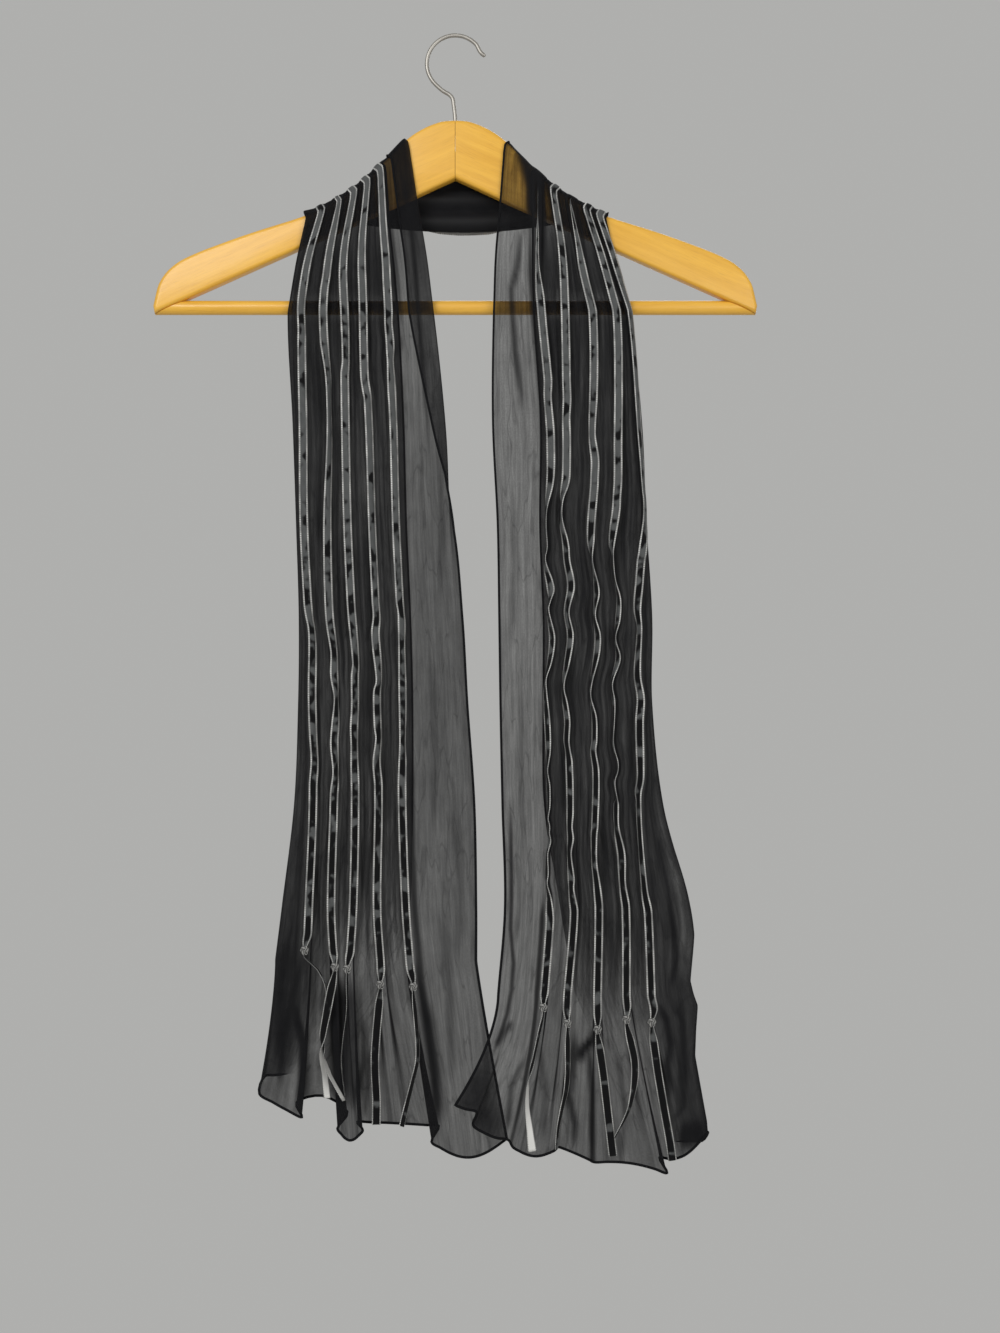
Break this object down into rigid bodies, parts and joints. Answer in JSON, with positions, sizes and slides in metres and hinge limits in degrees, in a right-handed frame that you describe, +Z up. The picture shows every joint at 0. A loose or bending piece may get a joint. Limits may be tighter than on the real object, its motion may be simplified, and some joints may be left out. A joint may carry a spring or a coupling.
{
  "type": "chiffon scarf on a wooden hanger",
  "caption": "Long sheer scarf with lengthwise velvet ribbons knotted above a flounced hem, hung round the neck of a wooden hanger with a trouser bar and wire hook",
  "frame": {"origin": "The underside of the hook's crown, where the hanger hangs on a rail", "axes": "+Z up, +X to the right of someone who faces the scarf, +Y away from them, so the front faces -Y"},
  "size_m": [0.445, 0.0504, 0.836],
  "materials": {
    "chiffon": "sheer crinkled chiffon",
    "velvet": "velvet pile with pale picot edges",
    "satin": "satin reverse of the ribbon",
    "wood": "clear varnish",
    "steel": "polished wire"
  },
  "bodies": {
    "root": {"hanger_arm_left": "wood", "hanger_arm_right": "wood", "trouser_bar": "wood", "hook": "steel", "scarf_front_left": "chiffon", "scarf_front_right": "chiffon", "scarf_neck": "chiffon", "ribbon_left_1": "velvet", "ribbon_left_2": "velvet", "ribbon_left_3": "velvet", "ribbon_left_4": "velvet", "ribbon_left_5": "velvet", "ribbon_right_1": "velvet", "ribbon_right_2": "velvet", "ribbon_right_3": "velvet", "ribbon_right_4": "velvet", "ribbon_right_5": "velvet", "ribbon_neck_1": "velvet", "ribbon_neck_2": "velvet", "ribbon_neck_3": "velvet", "ribbon_neck_4": "velvet", "ribbon_neck_5": "velvet", "knot_left_1": "satin", "knot_left_2": "satin", "knot_left_3": "satin", "knot_left_4": "satin", "knot_left_5": "satin", "tail_left_1": "velvet", "tail_left_2": "velvet", "tail_left_3": "velvet", "tail_left_4": "velvet", "tail_left_5": "velvet", "knot_right_1": "satin", "knot_right_2": "satin", "knot_right_3": "satin", "knot_right_4": "satin", "knot_right_5": "satin", "tail_right_1": "velvet", "tail_right_2": "velvet", "tail_right_3": "velvet", "tail_right_4": "velvet", "tail_right_5": "velvet"}
  },
  "joints": []
}
